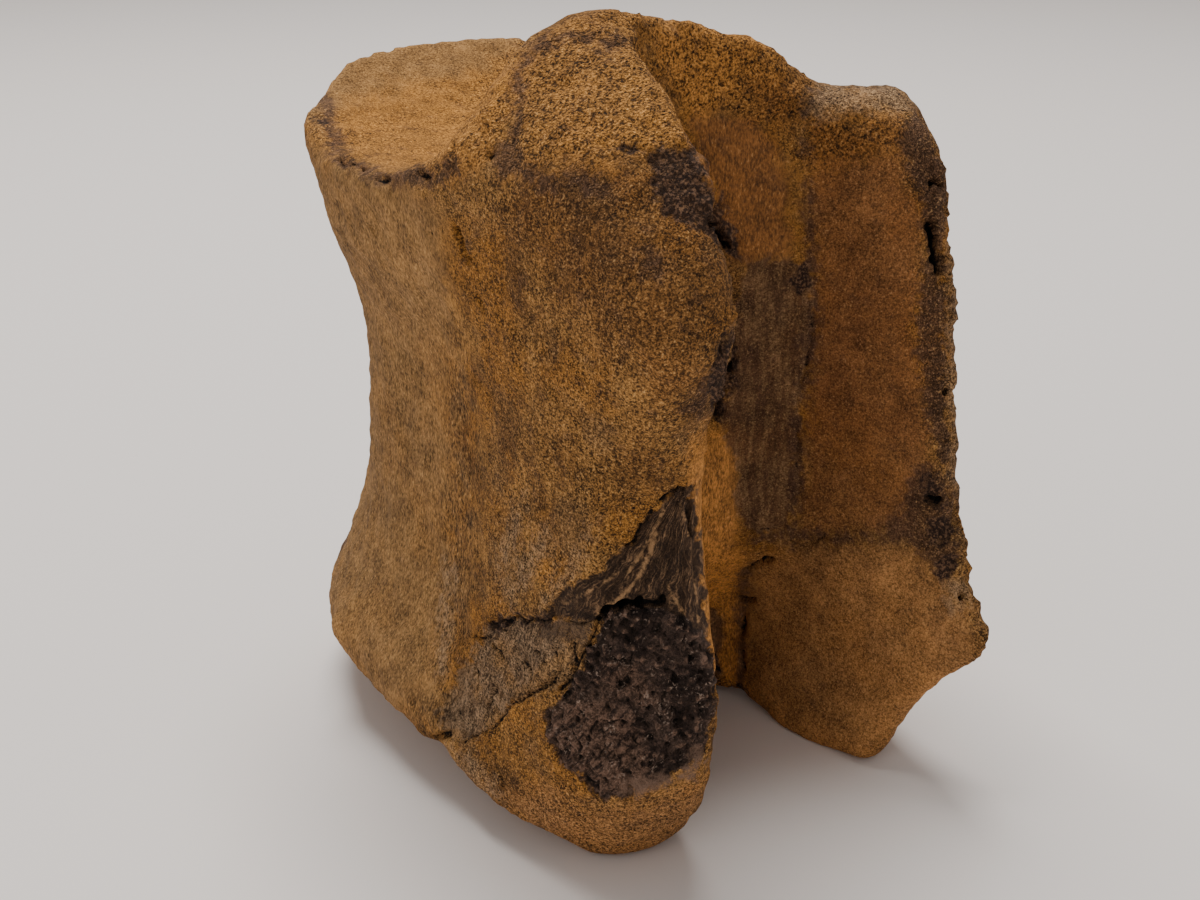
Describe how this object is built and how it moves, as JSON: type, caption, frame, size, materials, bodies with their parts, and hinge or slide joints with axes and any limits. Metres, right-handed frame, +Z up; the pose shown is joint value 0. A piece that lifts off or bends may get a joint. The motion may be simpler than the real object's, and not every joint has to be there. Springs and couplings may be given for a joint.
{
  "type": "fossil hadrosaur vertebra",
  "caption": "Life-size fossil dinosaur vertebra standing on one end: a waisted centrum with an open neural canal between two broken pedicle stumps.",
  "frame": {"origin": "the middle of the bone's box, on the floor that it stands on", "axes": "+Z up along the centrum's length, -Y dorsal, the way the open neural canal faces, +Y ventral, -X the side with the higher pedicle stump"},
  "size_m": [0.0822, 0.112, 0.1201],
  "materials": {
    "fossil_bone": "matt, granular, tan to dark brown with near-black stains on the broken edges"
  },
  "bodies": {
    "root": {"vertebra": "fossil_bone"}
  },
  "joints": []
}
